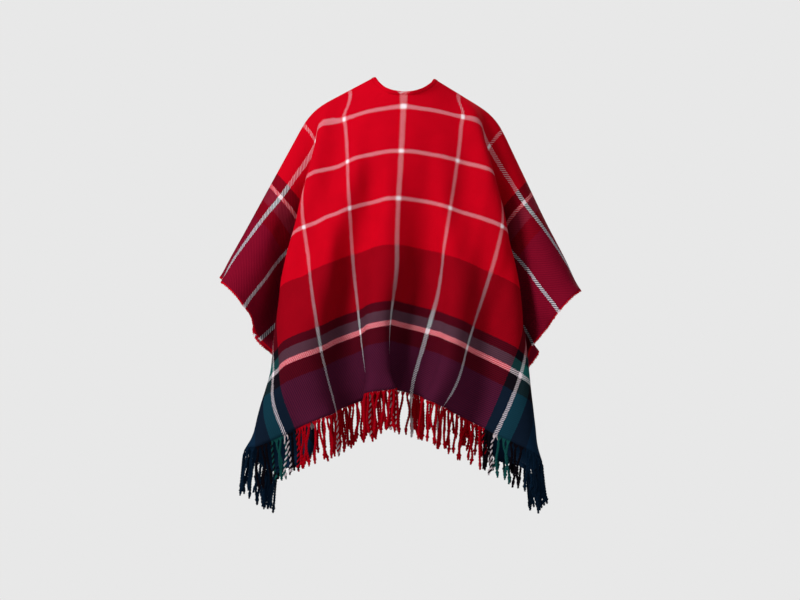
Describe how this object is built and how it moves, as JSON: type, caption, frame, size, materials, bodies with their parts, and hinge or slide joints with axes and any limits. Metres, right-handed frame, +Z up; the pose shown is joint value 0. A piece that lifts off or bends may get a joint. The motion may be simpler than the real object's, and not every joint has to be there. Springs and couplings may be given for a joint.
{
  "type": "cape",
  "caption": "Plaid woollen cape with fringed hems, filled out as if worn: hollow body, open wrists, neck hole and open front.",
  "frame": {"origin": "middle of the shoulder line, between the two sides of the neck hole", "axes": "+Z up; -Y the back of the cape, +Y its open front; +X the wearer's right arm"},
  "size_m": [0.8778, 0.4129, 1.0657],
  "materials": {
    "plaid_wool": "brushed woollen twill plaid",
    "binding_wool": "rolled self fabric",
    "fringe_yarn": "twisted yarn"
  },
  "bodies": {
    "root": {"cape_cloth": "plaid_wool", "neck_front_binding": "binding_wool", "back_fringe": "fringe_yarn", "front_fringe_left": "fringe_yarn", "front_fringe_right": "fringe_yarn"}
  },
  "joints": []
}
